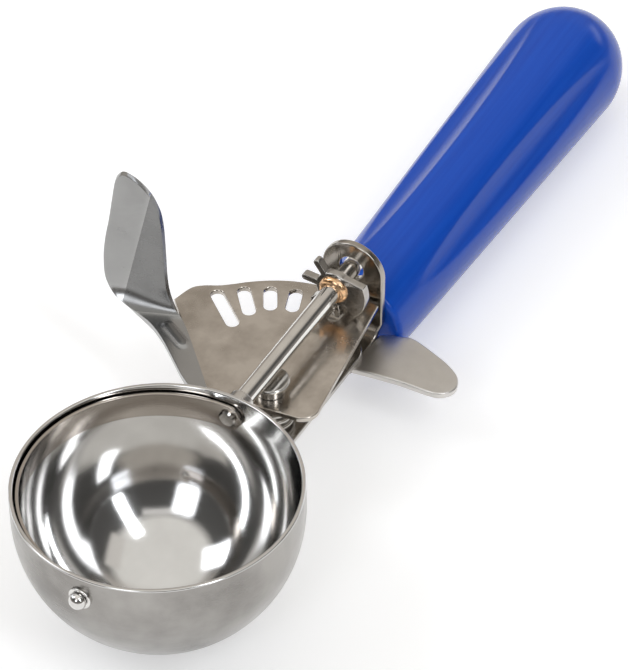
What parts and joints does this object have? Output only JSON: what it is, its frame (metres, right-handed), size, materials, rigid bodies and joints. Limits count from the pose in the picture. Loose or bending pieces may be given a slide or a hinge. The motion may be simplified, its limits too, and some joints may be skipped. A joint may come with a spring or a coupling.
{
  "type": "lever ice cream scoop",
  "caption": "Portion scoop with a round steel bowl, a sweeping scraper blade turned by a pinion and slotted thumb lever, a finger rest and a moulded grip.",
  "frame": {"origin": "centre of the bowl's rim, in the rim's plane", "axes": "+Z out of the bowl's mouth, +X along the shaft towards the grip, +Y towards the thumb paddle"},
  "size_m": [0.2202, 0.0722, 0.056],
  "materials": {
    "bowl_steel": "polished inside, satin outside",
    "bushing_steel": "satin",
    "bushing_copper": "as brazed",
    "pin_steel": "polished",
    "blade_steel": "polished",
    "shaft_steel": "polished",
    "pinion_steel": "polished",
    "pinion_copper": "as brazed",
    "strap_steel": "satin",
    "frame_steel": "polished",
    "frame_copper": "as brazed",
    "post_steel": "machined",
    "lever_steel": "satin",
    "washer_steel": "satin",
    "spring_steel": "drawn wire",
    "tang_steel": "satin",
    "rivet_steel": "satin",
    "grip_plastic": "gloss"
  },
  "bodies": {
    "base": {"bowl": "bowl_steel", "bowl_bushing": "bushing_steel", "bushing_braze": "bushing_copper", "front_washer": "pin_steel", "bowl_strap": "strap_steel", "frame": "frame_steel", "strap_braze": "frame_copper", "pivot_post": "post_steel", "base_washer": "washer_steel", "return_spring": "spring_steel", "handle_tang": "tang_steel", "tang_rivets": "rivet_steel", "handle_grip": "grip_plastic"},
    "lever": {"thumb_lever": "lever_steel", "lever_washer": "washer_steel"},
    "shaft": {"scraper_blade": "blade_steel", "front_pin": "pin_steel", "drive_shaft": "shaft_steel", "pinion": "pinion_steel", "braze_front": "pinion_copper", "braze_rear": "pinion_copper"}
  },
  "joints": [
    {"name": "lever_swing", "type": "hinge", "parent": "base", "child": "lever", "pos_m": [0.0435, 0, -0.0121], "axis": [0, 0, -1], "range_deg": [0, 36], "stiffness_Nm_per_rad": 0.15, "springref_deg": -22.92, "deforming": ["return_spring"]},
    {"name": "shaft_spin", "type": "hinge", "parent": "base", "child": "shaft", "pos_m": [0, 0, -0.005], "axis": [-1, 0, 0], "range_deg": [0, 176.5]}
  ],
  "couplings": [
    {"joint": "shaft_spin", "follows": "lever_swing", "ratio": 4.902}
  ]
}
